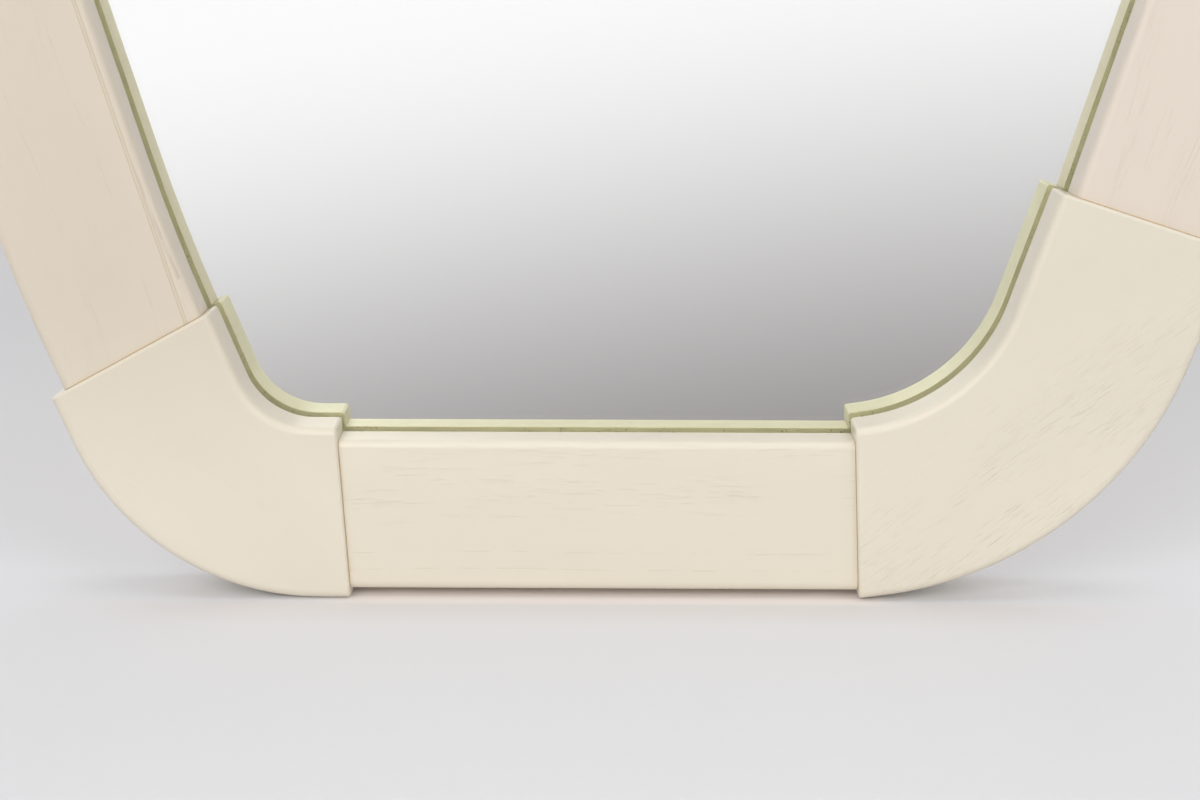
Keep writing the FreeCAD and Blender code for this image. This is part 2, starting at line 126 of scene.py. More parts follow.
FIGURES = (
    Figure("bottom_rail", JOINTS["bottom right"].point, 180.0, pores=0.62, band=14.0, spread=26.0,
           joints=("bottom right", "bottom left"), lines=(45.0, 52.0), wander=1.0, sparse=0.40),
    Figure("lower_left_elbow", in_plane(-134.6, 70.6), 140.0, pores=0.25, band=40.0, spread=50.0,
           joints=("bottom left", "left low"), shade=(0.87, 0.85, 0.83)),
    Figure("left_stile", in_plane(-172.98, 172.36), STILE_HEADING, pores=0.35, band=34.0, spread=40.0,
           joints=("left low", "left high"), lines=(14.0, 36.0), wander=5.0, cuts=(2.7, 3.7),
           shade=(0.86, 0.83, 0.815)),
    Figure("upper_left_elbow", in_plane(-270.0, 640.0), 52.0, pores=0.5, band=40.0, spread=60.0,
           joints=("left high", "top left"), shade=(0.92, 0.91, 0.905)),
    Figure("top_rail", JOINTS["top left"].point, 0.0, pores=0.8, band=22.0, spread=34.0,
           joints=("top left", "top right"), lines=(40.0,), shade=(0.93, 0.92, 0.915)),
    Figure("upper_right_elbow", in_plane(270.0, 640.0), -52.0, pores=0.5, band=40.0, spread=60.0,
           joints=("top right", "right high"), shade=(0.94, 0.935, 0.93)),
    Figure("right_stile", JOINTS["right high"].point, -STILE_HEADING, pores=0.5, band=30.0, spread=45.0,
           joints=("right high", "right low"), lines=(34.0,), shade=(0.93, 0.90, 0.93)),
    Figure("lower_right_elbow", in_plane(133.5, 76.7), 219.0, pores=0.72, band=48.0, spread=60.0,
           joints=("right low", "bottom right"), wander=0.4, sparse=0.33, shade=(0.945, 0.945, 0.94)),
)


class Nodes:
    """Adds nodes to one tree."""

    def __init__(self, tree):
        self.tree = tree

    def put(self, socket, value):
        """Links a socket to another node's output, or sets its plain value."""
        if isinstance(value, bpy.types.NodeSocket):
            self.tree.links.new(value, socket)
        else:
            socket.default_value = value

    def node(self, kind, values=(), **settings):
        """Adds a node; values are plain or other nodes' outputs, by socket name or number."""
        made = self.tree.nodes.new(kind)
        for setting, value in settings.items():
            setattr(made, setting, value)
        for socket, value in dict(values).items():
            self.put(made.inputs[socket], value)
        return made

    def maths(self, operation, first, second=0.0, third=0.0):
        values = {0: first, 1: second, 2: third}
        return self.node("ShaderNodeMath", values, operation=operation).outputs[0]

    def product(self, first, *others):
        """Product of several values."""
        for other in others:
            first = self.maths("MULTIPLY", first, other)
        return first

    def vector(self, operation, first, second):
        made = self.node("ShaderNodeVectorMath", {0: first, 1: second}, operation=operation)
        return made.outputs["Value" if operation == "DOT_PRODUCT" else "Vector"]

    def ramp(self, value, low, high, start=0.0, end=1.0):
        """Smooth step from start to end while a value goes from low to high."""
        values = {"Value": value, "From Min": low, "From Max": high, "To Min": start, "To Max": end}
        return self.node("ShaderNodeMapRange", values, interpolation_type="SMOOTHSTEP").outputs["Result"]

    def mix(self, share, first, second):
        """Colour between two colours, each plain or another node's output."""
        made = self.node("ShaderNodeMix", data_type="RGBA", clamp_factor=True)
        self.put(made.inputs[0], share)
        colours_in = [socket for socket in made.inputs if socket.type == "RGBA"]
        for socket, value in zip(colours_in, (first, second)):
            self.put(socket, value if isinstance(value, bpy.types.NodeSocket) else (*value, 1.0))
        return [socket for socket in made.outputs if socket.type == "RGBA"][0]


class Shader(Nodes):
    """Builds one material out of procedural nodes on Object coordinates."""

    LINE_CORE = 0.35

    def __init__(self, name):
        self.material = bpy.data.materials.new(name)
        self.material.use_nodes = True
        super().__init__(self.material.node_tree)
        self.surface = self.tree.nodes["Principled BSDF"]
        self.place = self.node("ShaderNodeTexCoord").outputs["Object"]

    def axis(self, letter):
        """One coordinate of the place."""
        return self.node("ShaderNodeSeparateXYZ", {0: self.place}).outputs[letter]

    def distances(self, start, heading):
        """Distances from start, along a heading and outwards square to it."""
        local = self.vector("SUBTRACT", self.place, start)
        along = self.vector("DOT_PRODUCT", local, heading_vector(heading))
        across = self.vector("DOT_PRODUCT", local, heading_vector(heading + 90))
        return along, across

    def grain(self, start, heading):
        """Distances along the grain, outwards square to it, and to the back."""
        return *self.distances(start, heading), self.axis("Y")

    def noise(self, vector, scale=1.0, detail=2.0):
        values = {"Vector": vector, "Scale": scale, "Detail": detail, "Roughness": 0.5}
        return self.node("ShaderNodeTexNoise", values).outputs["Fac"]

    def streaks(self, grain, lengths, detail=2.0):
        """Noise drawn out over three lengths: along the grain, across it and to the back."""
        parts = {letter: self.maths("DIVIDE", distance, length)
                 for letter, distance, length in zip("XYZ", grain, lengths)}
        return self.noise(self.node("ShaderNodeCombineXYZ", parts).outputs[0], detail=detail)

    def line(self, distance, width):
        """1 on a thin line where a distance is nil, and 0 away from it."""
        return self.ramp(self.maths("ABSOLUTE", distance), self.LINE_CORE * width, width, 1.0, 0.0)

    def bump(self, height, depth):
        made = self.node("ShaderNodeBump", {"Height": height, "Distance": depth, "Strength": 1.0})
        return made.outputs["Normal"]

    def finish(self, **sockets):
        """Sets the shader's sockets, named in small letters with underscores."""
        for name, value in sockets.items():
            socket = self.surface.inputs[name.replace("_", " ").title().replace("Ior", "IOR")]
            if isinstance(value, tuple) and len(value) == 3:
                value = (*value, 1.0)
            self.put(socket, value)
        return self.material


def paint(node, material):
    """Gives a node one material."""
    mesh = NODES[node].data
    mesh.materials.clear()
    mesh.materials.append(material)


def in_two_tones(shader, share, colour, first, second):
    """Mixes one colour at two strengths."""
    return shader.mix(share, tuple(Vector(colour) * first), tuple(Vector(colour) * second))


class MirrorPaintSettings(bpy.types.PropertyGroup):
    cream: bpy.props.FloatVectorProperty(
        name="Cream", description="Colour of the paint", subtype="COLOR", default=srgb(236, 227, 209))
    pore: bpy.props.FloatVectorProperty(
        name="Pores", description="Colour in the open pores", subtype="COLOR", default=srgb(212, 194, 160))
    glue_line: bpy.props.FloatVectorProperty(
        name="Glue line", description="Colour of the joint lines", subtype="COLOR",
        default=srgb(231, 210, 174))
    # Painted light: a pale yellow that lightens the lip's shaded face towards the glass.
    lip: bpy.props.FloatVectorProperty(
        name="Lip", description="Colour of the lip's face towards the glass", subtype="COLOR",
        default=(0.97, 0.875, 0.60))
    grime: bpy.props.FloatVectorProperty(
        name="Grime", description="Colour of the specks beside the glass", subtype="COLOR",
        default=srgb(104, 88, 62))
    pore_depth: bpy.props.FloatProperty(
        name="Pore depth", description="Depth of the open pores", unit="LENGTH", default=0.09 * MM)
    roughness: bpy.props.FloatProperty(
        name="Roughness", description="Roughness of the satin paint", subtype="FACTOR", default=0.28)


class MirrorGlassSettings(bpy.types.PropertyGroup):
    clearance: bpy.props.FloatProperty(
        name="Clearance", description="Air left on both faces of the glass", unit="LENGTH",
        default=0.05 * MM)
    tint: bpy.props.FloatVectorProperty(
        name="Tint", description="Green tint of the glass", subtype="COLOR", default=(0.855, 0.88, 0.735))
    silver: bpy.props.FloatVectorProperty(
        name="Silver", description="Colour of the reflecting coat", subtype="COLOR",
        default=(0.95, 0.955, 0.94))


class MirrorMetalSettings(bpy.types.PropertyGroup):
    brass: bpy.props.FloatVectorProperty(
        name="Brass", description="Colour of the turn buttons", subtype="COLOR", default=(0.73, 0.55, 0.25))
    zinc: bpy.props.FloatVectorProperty(
        name="Zinc", description="Colour of the plated steel", subtype="COLOR", default=(0.66, 0.65, 0.62))
    head_radius: bpy.props.FloatProperty(
        name="Head radius", description="Radius of the screw heads", unit="LENGTH", default=3.8 * MM)
    head_height: bpy.props.FloatProperty(
        name="Head height", description="Height of the screw heads", unit="LENGTH", default=1.6 * MM)
    shank_radius: bpy.props.FloatProperty(
        name="Shank radius", description="Radius of the screw shanks", unit="LENGTH", default=2.0 * MM)
    slot_width: bpy.props.FloatProperty(
        name="Slot width", description="Width of the screw slots", unit="LENGTH", default=0.9 * MM)
    slot_depth: bpy.props.FloatProperty(
        name="Slot depth", description="Depth of the screw slots", unit="LENGTH", default=0.8 * MM)
    seed: bpy.props.IntProperty(
        name="Seed", description="Chooses how far each screw is turned", default=7)


class MirrorStageSettings(bpy.types.PropertyGroup):
    floor: bpy.props.FloatVectorProperty(
        name="Floor", description="Colour of the floor", subtype="COLOR", default=srgb(228, 228, 231))
    key: bpy.props.FloatProperty(
        name="Key light", description="Power of the large soft light", unit="POWER", default=31.0)
    fill: bpy.props.FloatProperty(
        name="Fill light", description="Power of the weaker light", unit="POWER", default=7.0)
    top: bpy.props.FloatProperty(
        name="Top light", description="Power of the light above the mirror", unit="POWER", default=16.0)
    back: bpy.props.FloatProperty(
        name="Back light", description="Power of the light behind the mirror", unit="POWER", default=5.0)
    ambient: bpy.props.FloatProperty(
        name="Ambient", description="Even light from all round", default=0.64)
    mirrored: bpy.props.FloatProperty(
        name="Mirrored light", default=2.3,
        description="How much is added to the surround's light that comes by way of the glass")
    lens: bpy.props.FloatProperty(
        name="Lens", description="Focal length in millimetres", unit="CAMERA", default=51.0)


class MIRROR_OT_painted_frame(bpy.types.Operator):
    """Paint the rails, stiles and elbows cream over open-pored wood"""
    bl_idname = "mirror.painted_frame"
    bl_label = "Painted frame"

    # Places on the frame: the rail's width, where an elbow's step and the lip end, and the heights over
    # which the painted shade comes in.
    RAIL_WIDTH = 61.0 * MM
    STEP_FOOT = -14.25 * MM
    LIP_FOOT = -1.25 * MM
    PAINTED_SHADE_HEIGHTS = (30.0 * MM, 130.0 * MM)

    # Lengths of each pattern along the grain, across it and to the back.
    DRIFT_LENGTHS = (90.0 * MM, 400.0 * MM, 400.0 * MM)
    PORE_LENGTHS = (14.0 * MM, 0.32 * MM, 0.7 * MM)
    CLUSTER_LENGTHS = (45.0 * MM, 7.0 * MM, 20.0 * MM)
    BREAK_LENGTHS = (12.0 * MM, 4.0 * MM, 20.0 * MM)
    CLOUD_LENGTHS = (120.0 * MM, 30.0 * MM, 50.0 * MM)

    DRIFT_REACH = 4.0 * MM
    PORE_STEP = (0.60, 0.70)
    CLUSTER_STEP = 0.18
    BREAK_STEP = (0.42, 0.60)
    BAND_CORE = 0.4
    PORES_OFF_BAND = 0.15
    LINE_WIDTH = 0.35 * MM
    LINE_STRENGTH = 0.5
    CUT_WIDTH = 0.3 * MM
    CUT_STRENGTH = 1.3
    CLOUD_TONES = (0.965, 1.03)
    PORE_COLOUR_SHARE = 0.5
    PORE_ROUGHNESS = 0.2

    GLUE_WIDTH = 0.5 * MM
    GLUE_END = 1.0 * MM
    GLUE_DEPTHS = (STEP_FOOT - 1.2 * MM, STEP_FOOT - 0.4 * MM)
    WEAR_SCALE = 260.0
    WEAR_STEP = (0.3, 0.65)
    WEAR_SHARES = (0.25, 0.85)

    LIP_REACH = 0.3 * MM
    SPECK_REACH = (0.2 * MM, 1.1 * MM)
    SPECK_SCALE = 1100.0
    SPECK_STEP = (0.66, 0.72)
    SPECK_PATCH_SCALE = 55.0
    SPECK_PATCH_STEP = (0.42, 0.60)
    SPECK_STRENGTH = 0.8

    SKIN_SCALE = 420.0
    SKIN_HEIGHT = 0.05

    def execute(self, context):
        for figure in FIGURES:
            paint(figure.node, self.painted_wood(figure, context.scene.mirror_paint))
        return {"FINISHED"}

    def painted_wood(self, figure, settings):
        shader = Shader("painted " + figure.node.replace("_", " "))
        along, across, depth = shader.grain(figure.start, figure.heading)
        drift = shader.streaks((along, across, depth), self.DRIFT_LENGTHS, detail=1.0)
        drift = shader.maths("SUBTRACT", drift, 0.5)
        bent = shader.maths("MULTIPLY_ADD", drift, figure.wander * self.DRIFT_REACH, across)
        grain = (along, bent, depth)

        pores = self.pores(shader, figure, grain, across)
        colour = self.cream_with_painted_shade(shader, figure, grain, settings)
        pored = shader.maths("MULTIPLY", pores, self.PORE_COLOUR_SHARE)
        colour = shader.mix(pored, colour, tuple(settings.pore))
        colour = self.with_glue_lines(shader, figure, depth, colour, settings)
        colour = self.with_painted_lip_light(shader, depth, colour, settings)

        skin = shader.noise(shader.place, scale=self.SKIN_SCALE)
        relief = shader.maths("SUBTRACT", shader.maths("MULTIPLY", skin, self.SKIN_HEIGHT), pores)
        rough = shader.maths("MULTIPLY_ADD", pores, self.PORE_ROUGHNESS, settings.roughness)
        return shader.finish(base_color=colour, roughness=rough,
                             normal=shader.bump(relief, settings.pore_depth))

    def pores(self, shader, figure, grain, across):
        """Share of open pore at each place, with the long grain marks and the router marks."""
        fine = shader.ramp(shader.streaks(grain, self.PORE_LENGTHS), *self.PORE_STEP)
        clusters = shader.streaks(grain, self.CLUSTER_LENGTHS, detail=1.0)
        clusters = shader.ramp(clusters, figure.sparse, figure.sparse + self.CLUSTER_STEP)
        away = shader.maths("ABSOLUTE", shader.maths("SUBTRACT", across, figure.band * MM))
        spread = figure.spread * MM
        band = shader.ramp(away, self.BAND_CORE * spread, spread, 1.0, self.PORES_OFF_BAND)
        pores = shader.product(fine, clusters, band, figure.pores)

        breaks = shader.ramp(shader.streaks(grain, self.BREAK_LENGTHS), *self.BREAK_STEP)
        for offset in figure.lines:
            mark = shader.line(shader.maths("SUBTRACT", grain[1], offset * MM), self.LINE_WIDTH)
            mark = shader.product(mark, breaks, self.LINE_STRENGTH)
            pores = shader.maths("MAXIMUM", pores, mark)
        for offset in figure.cuts:
            mark = shader.line(shader.maths("SUBTRACT", across, offset * MM), self.CUT_WIDTH)
            mark = shader.maths("MULTIPLY", mark, self.CUT_STRENGTH)
            pores = shader.maths("MAXIMUM", pores, mark)
        return pores

    def cream_with_painted_shade(self, shader, figure, grain, settings):
        """Cloudy cream with painted shade: it takes on the piece's darker tone further up, for light that
        falls off with height.
        """
        cloud = shader.streaks(grain, self.CLOUD_LENGTHS)
        cream = Vector(settings.cream)
        unshaded = in_two_tones(shader, cloud, cream, *self.CLOUD_TONES)
        shaded = in_two_tones(shader, cloud, cream * Vector(figure.shade), *self.CLOUD_TONES)
        return shader.mix(shader.ramp(shader.axis("Z"), *self.PAINTED_SHADE_HEIGHTS), unshaded, shaded)

    def with_glue_lines(self, shader, figure, depth, colour, settings):
        """Adds the worn glue lines, which end at the rail's edges and behind the elbow's step."""
        wear = shader.noise(shader.place, scale=self.WEAR_SCALE, detail=3.0)
        wear = shader.ramp(wear, *self.WEAR_STEP, *self.WEAR_SHARES)
        behind_step = shader.ramp(depth, *self.GLUE_DEPTHS)
        for word in figure.joints:
            distance, outward = shader.distances(JOINTS[word].point, JOINTS[word].heading)
            inner_end = shader.ramp(outward, 0.0, self.GLUE_END)
            outer_end = shader.ramp(outward, self.RAIL_WIDTH - self.GLUE_END, self.RAIL_WIDTH, 1.0, 0.0)
            mark = shader.line(distance, self.GLUE_WIDTH)
            mark = shader.product(mark, inner_end, outer_end, behind_step, wear)
            colour = shader.mix(mark, colour, tuple(settings.glue_line))
        return colour

    def with_painted_lip_light(self, shader, depth, colour, settings):
        """Adds painted light on the lip's face towards the glass, a pale yellow that lightens that shaded
        face, and the specks of grime beside the glass.
        """
        off_lip = shader.maths("SUBTRACT", depth, self.LIP_FOOT)
        # Painted light: the lip's face towards the glass takes the pale lip colour.
        colour = shader.mix(shader.line(off_lip, self.LIP_REACH), colour, tuple(settings.lip))
        near_lip = shader.ramp(shader.maths("ABSOLUTE", off_lip), *self.SPECK_REACH, 1.0, 0.0)
        specks = shader.noise(shader.place, scale=self.SPECK_SCALE, detail=1.0)
        specks = shader.ramp(specks, *self.SPECK_STEP)
        patches = shader.noise(shader.place, scale=self.SPECK_PATCH_SCALE, detail=1.0)
        patches = shader.ramp(patches, *self.SPECK_PATCH_STEP)
        specks = shader.product(specks, patches, near_lip, self.SPECK_STRENGTH)
        return shader.mix(specks, colour, tuple(settings.grime))


class MIRROR_OT_glass(bpy.types.Operator):
    """Make the clear pane and silver the coat behind it"""
    bl_idname = "mirror.glass"
    bl_label = "Glass and silver"

    GLASS_IOR = 1.5
    REAR_FACING = 0.9
    RIPPLE_SCALE = 3.0
    RIPPLE_TONES = (1.0, 1.01)
    CLOUD_SCALE = 6.0
    CLOUD_TONES = (1.0, 0.99)

    def execute(self, context):
        settings = context.scene.mirror_glass
        mesh = NODES["mirror_pane"].data.copy()
        mesh.name = "clear pane"
        front, back = (corner[1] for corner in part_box("mirror_pane"))
        for vertex in mesh.vertices:
            vertex.co.y = min(max(vertex.co.y, front + settings.clearance), back - settings.clearance)
        silver = self.silver(settings)
        mesh.materials.clear()
        mesh.materials.append(self.clear_glass(settings))
        mesh.materials.append(silver)
        for face in mesh.polygons:
            face.material_index = 1 if face.normal.y > self.REAR_FACING else 0
        pane = bpy.data.objects.new("clear_pane", mesh)
        context.scene.collection.objects.link(pane)
        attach(pane, "frame")
        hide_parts("mirror_pane")
        paint("silver_coat", silver)
        return {"FINISHED"}

    def clear_glass(self, settings):
        shader = Shader("clear glass")
        ripple = shader.noise(shader.place, scale=self.RIPPLE_SCALE, detail=0.0)
        colour = in_two_tones(shader, ripple, settings.tint, *self.RIPPLE_TONES)
        return shader.finish(base_color=colour, roughness=0.0, ior=self.GLASS_IOR, transmission_weight=1.0)

    def silver(self, settings):
        shader = Shader("silver coat")
        cloud = shader.noise(shader.place, scale=self.CLOUD_SCALE, detail=1.0)
        colour = in_two_tones(shader, cloud, settings.silver, *self.CLOUD_TONES)
        return shader.finish(base_color=colour, metallic=1.0, roughness=0.0)


class MIRROR_OT_backing(bpy.types.Operator):
    """Finish the board, the card, the setting blocks and the dowels"""
    bl_idname = "mirror.backing"
    bl_label = "Back and dowels"

    PALE_WOOD = srgb(212, 179, 136)
    RING_WOOD = srgb(197, 159, 113)
    FINE_WOOD = srgb(170, 132, 90)
    PALE_PLY = srgb(205, 170, 124)
    DARK_PLY = srgb(150, 112, 74)
    PLY_THICKNESS = 1.2 * MM
    RING_WIDTH = 16.0 * MM
    RING_DRIFT = 15.0
    DRIFT_LENGTHS = (350.0 * MM, 120.0 * MM, 1000.0 * MM)
    FINE_LENGTHS = (20.0 * MM, 0.9 * MM, 0.9 * MM)
    FIBRE_HEIGHT = 0.1 * MM

    CARD = (srgb(168, 164, 156), srgb(142, 138, 130))
    RUBBER = ((0.05, 0.05, 0.05), (0.03, 0.03, 0.03))
    BEECH = (srgb(206, 168, 122), srgb(186, 146, 100))

    def execute(self, context):
        paint("backing_board", self.plywood())
        paint("backing_card", self.fibres("grey card", *self.CARD, scale=700.0, roughness=0.9))
        paint("setting_blocks", self.fibres("black rubber", *self.RUBBER, scale=900.0, roughness=0.8))
        beech = self.fibres("bare beech", *self.BEECH, scale=350.0, roughness=0.6)
        for corner in ("lower_left", "upper_left", "upper_right", "lower_right"):
            paint("dowels_" + corner, beech)
        return {"FINISHED"}

    def plywood(self):
        """Upright wood figure on the faces, and the plies on the edges."""
        shader = Shader("plywood")
        grain = shader.grain(in_plane(0, 0), 90.0)
        _, across, depth = grain
        drift = shader.streaks(grain, self.DRIFT_LENGTHS)
        rings = shader.maths("DIVIDE", across, self.RING_WIDTH)
        rings = shader.maths("MULTIPLY_ADD", drift, self.RING_DRIFT, rings)
        rings = shader.ramp(shader.maths("PINGPONG", rings, 1.0), 0.25, 1.0)
        fine = shader.streaks(grain, self.FINE_LENGTHS, detail=3.0)
        face = shader.mix(rings, self.PALE_WOOD, self.RING_WOOD)
        face = shader.mix(shader.ramp(fine, 0.52, 0.70), face, self.FINE_WOOD)

        plies = shader.maths("PINGPONG", shader.maths("DIVIDE", depth, self.PLY_THICKNESS), 1.0)
        edge = shader.mix(shader.ramp(plies, 0.4, 0.6), self.PALE_PLY, self.DARK_PLY)
        normal = shader.node("ShaderNodeNewGeometry").outputs["Normal"]
        facing = shader.node("ShaderNodeSeparateXYZ", {0: normal}).outputs["Y"]
        on_edge = shader.ramp(shader.maths("ABSOLUTE", facing), 0.2, 0.6, 1.0, 0.0)
        return shader.finish(base_color=shader.mix(on_edge, face, edge), roughness=0.6,
                             normal=shader.bump(fine, self.FIBRE_HEIGHT))

    def fibres(self, name, light, dark, scale, roughness):
        """Plain material with fine flecks."""
        shader = Shader(name)
        fleck = shader.noise(shader.place, scale=scale, detail=3.0)
        colour = shader.mix(shader.ramp(fleck, 0.3, 0.7), light, dark)
        return shader.finish(base_color=colour, roughness=roughness,
                             normal=shader.bump(fleck, self.FIBRE_HEIGHT))


SCREW_INPUTS = {
    "Points": "NodeSocketGeometry", "Head Radius": "NodeSocketFloat", "Head Height": "NodeSocketFloat",
    "Shank Radius": "NodeSocketFloat", "Shank Length": "NodeSocketFloat", "Slot Width": "NodeSocketFloat",
    "Slot Depth": "NodeSocketFloat", "Seed": "NodeSocketInt", "Material": "NodeSocketMaterial",
}
HEAD_SEGMENTS = 40
HEAD_RINGS = 24
SHANK_SIDES = 32
SHARP_ANGLE = math.radians(32)


def screw_layout(name):
    """Nodes that stand a slotted round-headed screw on every point, and their inputs by name."""
    tree = bpy.data.node_groups.new(name + " layout", "GeometryNodeTree")
    sockets = {word: tree.interface.new_socket(word, in_out="INPUT", socket_type=kind)
               for word, kind in SCREW_INPUTS.items()}
    tree.interface.new_socket("Screws", in_out="OUTPUT", socket_type="NodeSocketGeometry")
    build = Nodes(tree)
    given = build.node("NodeGroupInput").outputs

    def triple(x, y, z):
        return build.node("ShaderNodeCombineXYZ", {0: x, 1: y, 2: z}).outputs[0]

    def moved(mesh, offset, size):
        values = {"Geometry": mesh, "Translation": offset, "Scale": size}
        return build.node("GeometryNodeTransform", values).outputs[0]

    def joined(*meshes):
        made = build.node("GeometryNodeJoinGeometry")
        for mesh in meshes:
            tree.links.new(mesh, made.inputs[0])
        return made.outputs[0]

    radius, height = given["Head Radius"], given["Head Height"]
    ball = {"Segments": HEAD_SEGMENTS, "Rings": HEAD_RINGS, "Radius": 1.0}
    ball = build.node("GeometryNodeMeshUVSphere", ball).outputs["Mesh"]
    ball = moved(ball, (0, 0, 0), triple(radius, radius, height))
    block = build.node("GeometryNodeMeshCube", {"Size": (1, 1, 1)}).outputs["Mesh"]
    wide = build.maths("MULTIPLY", radius, 3.0)
    below = triple(0.0, 0.0, build.maths("MULTIPLY", height, -1.0))
    lower_half = moved(block, below, triple(wide, wide, build.maths("MULTIPLY", height, 2.0)))
    slot_size = triple(wide, given["Slot Width"], build.maths("MULTIPLY", given["Slot Depth"], 2.0))
    slot = moved(block, triple(0.0, 0.0, height), slot_size)
    head = {"Mesh 1": ball, "Mesh 2": joined(lower_half, slot)}
    head = build.node("GeometryNodeMeshBoolean", head, operation="DIFFERENCE", solver="EXACT").outputs[0]

    shank = {"Vertices": SHANK_SIDES, "Radius": given["Shank Radius"], "Depth": given["Shank Length"]}
    shank = build.node("GeometryNodeMeshCylinder", shank).outputs["Mesh"]
    half_down = build.maths("MULTIPLY", given["Shank Length"], -0.5)
    shank = moved(shank, triple(0.0, 0.0, half_down), (1, 1, 1))
    to_the_back = {"Geometry": joined(head, shank), "Rotation": (-math.pi / 2, 0, 0)}
    screw = build.node("GeometryNodeTransform", to_the_back).outputs[0]

    turn = build.node("FunctionNodeRandomValue", {"Seed": given["Seed"]}, data_type="FLOAT")
    least, most = [socket for socket in turn.inputs if socket.type == "VALUE"][:2]
    least.default_value, most.default_value = 0.0, math.pi
    turned = triple(0.0, [socket for socket in turn.outputs if socket.type == "VALUE"][0], 0.0)
    placed = {"Points": given["Points"], "Instance": screw, "Rotation": turned}
    placed = build.node("GeometryNodeInstanceOnPoints", placed).outputs[0]
    real = build.node("GeometryNodeRealizeInstances", {0: placed}).outputs[0]
    finished = {"Geometry": real, "Material": given["Material"]}
    finished = build.node("GeometryNodeSetMaterial", finished).outputs[0]
    build.node("NodeGroupOutput", {0: finished})
    return tree, sockets


def slotted_screws(name, points, material, settings, shank_length):
    """One mesh of slotted screws, standing on points and pointing to the back."""
    tree, sockets = screw_layout(name)
    base = bpy.data.meshes.new(name + " points")
    base.from_pydata([tuple(point) for point in points], [], [])
    holder = bpy.data.objects.new(name, base)
    bpy.context.scene.collection.objects.link(holder)
    layout = holder.modifiers.new("Screws", "NODES")
    layout.node_group = tree
    chosen = {"Head Radius": settings.head_radius, "Head Height": settings.head_height,
              "Shank Radius": settings.shank_radius, "Shank Length": shank_length,
              "Slot Width": settings.slot_width, "Slot Depth": settings.slot_depth,
              "Seed": settings.seed, "Material": material}
    for word, value in chosen.items():
        layout[sockets[word].identifier] = value
    graph = bpy.context.evaluated_depsgraph_get()
    mesh = bpy.data.meshes.new_from_object(holder.evaluated_get(graph), depsgraph=graph)
    mesh.name = name
    holder.modifiers.clear()
    holder.data = mesh
    bpy.data.meshes.remove(base)
    for face in mesh.polygons:
        face.use_smooth = True
    mesh.set_sharp_from_angle(angle=SHARP_ANGLE)
    if not mesh.polygons:
        raise RuntimeError("no screws were made for " + name)
    return holder


METAL_BUMP = 0.02 * MM


def plated_steel(name, settings):
    """Zinc plating with soft mottling."""
    shader = Shader(name)
    mottle = shader.noise(shader.place, scale=520.0, detail=3.0)
    colour = in_two_tones(shader, mottle, settings.zinc, 0.86, 1.08)
    rough = shader.ramp(mottle, 0.3, 0.7, 0.24, 0.42)
    return shader.finish(base_color=colour, metallic=1.0, roughness=rough,
                         normal=shader.bump(mottle, METAL_BUMP))


def joint_places(start):
    """Joint positions of the bodies whose names have a start, in order."""
    return [Vector(joint["pos_m"]) for joint in frame["joints"] if joint["child"].startswith(start)]


class MIRROR_OT_turn_buttons(bpy.types.Operator):
    """Finish the brass turn buttons and make their screws"""
    bl_idname = "mirror.turn_buttons"
    bl_label = "Turn buttons"

    # Heading of each side's buttons, and their numbers.
    SIDES = {"bottom": (90.0, (1,)), "left": (LEAN, (2, 3, 4)),
             "top": (90.0, (5, 6)), "right": (-LEAN, (7, 8, 9))}
    LIFT = 0.1 * MM
    SHANK_LENGTH = 18.0 * MM
    SCRATCH_LENGTHS = (20.0 * MM, 0.18 * MM, 0.18 * MM)

    def execute(self, context):
        settings = context.scene.mirror_metal
        for side, (heading, numbers) in self.SIDES.items():
            material = self.satin_brass("satin brass " + side, heading, settings)
            for number in numbers:
                paint("turn_button_%d" % number, material)
        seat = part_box("turn_button_1")[1][1] + self.LIFT
        points = [Vector((place.x, seat, place.z)) for place in joint_places("turn_button")]
        zinc = plated_steel("pivot screw zinc", settings)
        screws = slotted_screws("pivot_screws", points, zinc, settings, self.SHANK_LENGTH)
        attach(screws, "frame")
        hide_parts("turn_button_screws")
        return {"FINISHED"}

    def satin_brass(self, name, heading, settings):
        """Stained brass, scratched along the button."""
        shader = Shader(name)
        scratch = shader.streaks(shader.grain(in_plane(0, 0), heading), self.SCRATCH_LENGTHS)
        stain = shader.ramp(shader.noise(shader.place, scale=140.0), 0.3, 0.75)
        colour = in_two_tones(shader, stain, settings.brass, 1.05, 0.82)
        rough = shader.ramp(scratch, 0.3, 0.7, 0.26, 0.44)
        return shader.finish(base_color=colour, metallic=1.0, roughness=rough,
                             normal=shader.bump(scratch, METAL_BUMP))


class MIRROR_OT_hangers(bpy.types.Operator):
    """Finish the hanger straps and rings and make their screws"""
    bl_idname = "mirror.hangers"
    bl_label = "Hangers"

    SCREW_DROPS = (22.0 * MM, 38.0 * MM)
    STRAP_THICKNESS = 1.0 * MM
    SHANK_LENGTH = 17.0 * MM

    def execute(self, context):
        settings = context.scene.mirror_metal
        zinc = plated_steel("strap zinc", settings)
        for side in ("left", "right"):
            paint("hanger_strap_" + side, zinc)
            paint("hanger_ring_" + side, zinc)
        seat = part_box("left_stile")[1][1] + self.STRAP_THICKNESS
        points = [Vector((eye.x, seat, eye.z - drop))
                  for eye in joint_places("hanger_ring") for drop in self.SCREW_DROPS]
        screw_zinc = plated_steel("strap screw zinc", settings)
        screws = slotted_screws("strap_screws", points, screw_zinc, settings, self.SHANK_LENGTH)
        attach(screws, "frame")
        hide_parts("hanger_screws")
        return {"FINISHED"}


